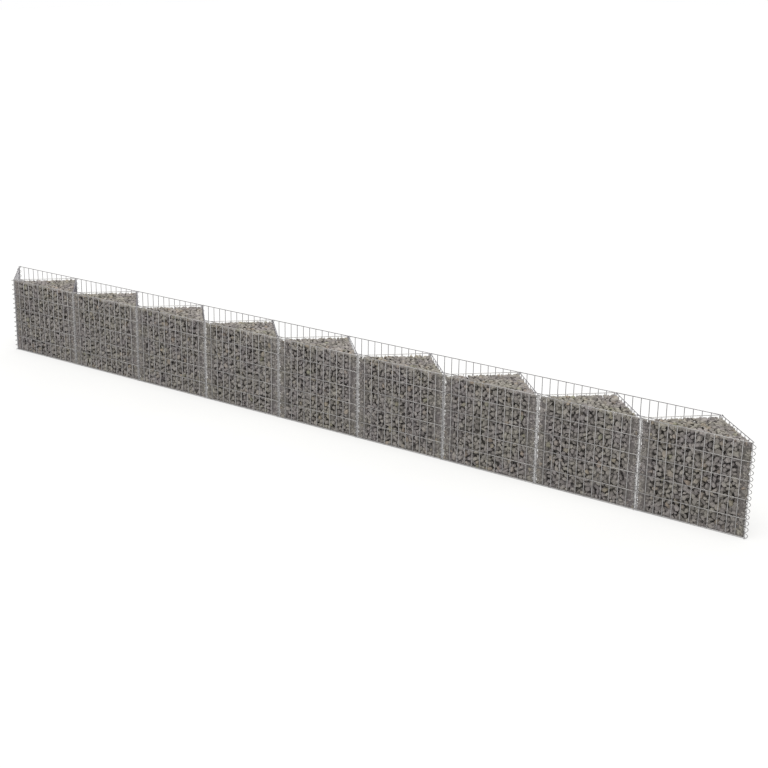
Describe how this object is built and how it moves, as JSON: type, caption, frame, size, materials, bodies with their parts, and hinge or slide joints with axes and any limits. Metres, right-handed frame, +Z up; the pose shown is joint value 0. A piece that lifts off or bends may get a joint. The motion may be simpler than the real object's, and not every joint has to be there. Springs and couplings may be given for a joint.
{
  "type": "gabion wall",
  "caption": "Low free-standing gabion wall with a zig-zag plan: rubble-filled welded mesh baskets laced at the corners by spiral wires, with open pockets behind.",
  "frame": {"origin": "on the ground under the middle of the wall", "axes": "+X along the wall, +Y from the front row of panels to the back row, +Z up"},
  "size_m": [5.7272, 0.3272, 0.5],
  "materials": {
    "mesh_wire": "galvanised drawn wire, dull grey with a slight spangle",
    "spiral_wire": "bright galvanised wire wound into a spiral",
    "rubble": "rough crushed grey-brown rock, angular, with dark gaps between the stones"
  },
  "bodies": {
    "root": {"front_panel_1": "mesh_wire", "front_panel_2": "mesh_wire", "front_panel_3": "mesh_wire", "front_panel_4": "mesh_wire", "front_panel_5": "mesh_wire", "front_panel_6": "mesh_wire", "front_panel_7": "mesh_wire", "front_panel_8": "mesh_wire", "front_panel_9": "mesh_wire", "back_panel_1": "mesh_wire", "back_panel_2": "mesh_wire", "back_panel_3": "mesh_wire", "back_panel_4": "mesh_wire", "back_panel_5": "mesh_wire", "back_panel_6": "mesh_wire", "back_panel_7": "mesh_wire", "back_panel_8": "mesh_wire", "back_panel_9": "mesh_wire", "end_divider": "mesh_wire", "divider_pair_1": "mesh_wire", "divider_pair_2": "mesh_wire", "divider_pair_3": "mesh_wire", "divider_pair_4": "mesh_wire", "divider_pair_5": "mesh_wire", "divider_pair_6": "mesh_wire", "divider_pair_7": "mesh_wire", "divider_pair_8": "mesh_wire", "divider_pair_9": "mesh_wire", "rubble_fill_1": "rubble", "rubble_fill_2": "rubble", "rubble_fill_3": "rubble", "rubble_fill_4": "rubble", "rubble_fill_5": "rubble", "rubble_fill_6": "rubble", "rubble_fill_7": "rubble", "rubble_fill_8": "rubble", "rubble_fill_9": "rubble", "front_spirals": "spiral_wire", "back_spirals": "spiral_wire"}
  },
  "joints": []
}
